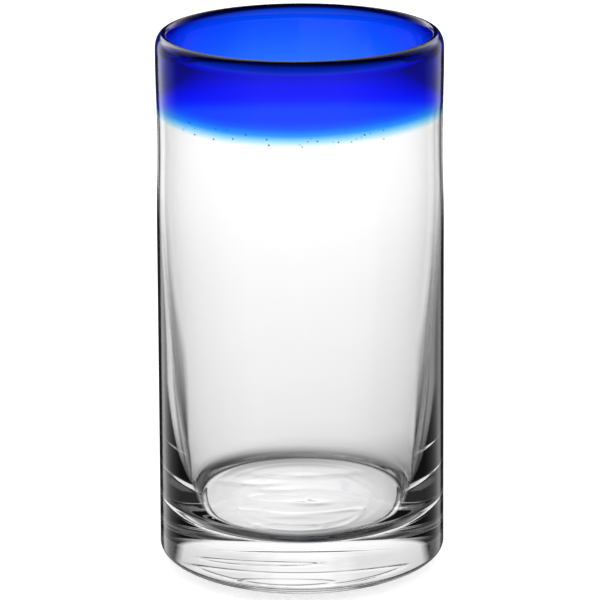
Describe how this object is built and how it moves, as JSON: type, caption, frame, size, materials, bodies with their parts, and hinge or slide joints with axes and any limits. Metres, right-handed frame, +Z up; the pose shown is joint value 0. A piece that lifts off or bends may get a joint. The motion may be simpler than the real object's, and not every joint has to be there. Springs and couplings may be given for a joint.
{
  "type": "cooler glass",
  "caption": "Tall straight-sided drinking glass with a heavy clear base and a rolled cobalt blue rim that fades into the clear wall; holds cold drinks.",
  "frame": {"origin": "centre of the foot ring, on the surface that the glass stands on", "axes": "+Z up along the glass's axis of revolution, towards the mouth; X and Y are alike"},
  "size_m": [0.0794, 0.0792, 0.15],
  "materials": {
    "clear_glass": "clear soda-lime glass, fire-polished",
    "cobalt_glass": "clear cobalt blue glass, fire-polished"
  },
  "bodies": {
    "root": {"clear_body": "clear_glass", "blue_rim": "cobalt_glass"}
  },
  "joints": []
}
